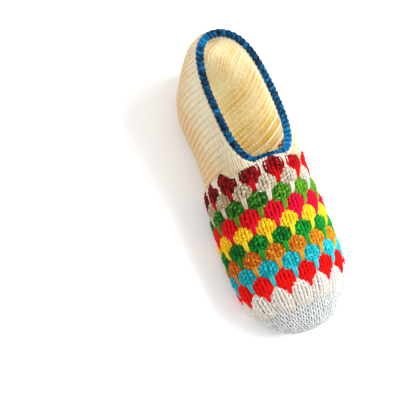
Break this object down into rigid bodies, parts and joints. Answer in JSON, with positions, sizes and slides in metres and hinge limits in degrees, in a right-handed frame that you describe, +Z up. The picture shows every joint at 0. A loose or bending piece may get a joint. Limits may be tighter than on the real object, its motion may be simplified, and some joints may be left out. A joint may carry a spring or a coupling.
{
  "type": "crocheted slipper",
  "caption": "Ankle-high crocheted house slipper with a plain toe cap, a vamp of puffed clusters in coloured rounds, a cream heel part and a blue corded edging round its opening.",
  "frame": {"origin": "middle of the slipper's outline on the floor it stands on", "axes": "+X toward the toe, +Y toward the wearer's left, +Z up"},
  "size_m": [0.2408, 0.0888, 0.0908],
  "materials": {
    "white_yarn": "matte wool-like yarn",
    "coloured_yarn": "matte wool-like yarn, one colour to each round",
    "cream_yarn": "matte wool-like yarn",
    "blue_yarn": "matte wool-like yarn"
  },
  "bodies": {
    "root": {"toe_cap": "white_yarn", "bobble_vamp": "coloured_yarn", "heel_part": "cream_yarn", "collar_edging": "blue_yarn"}
  },
  "joints": []
}
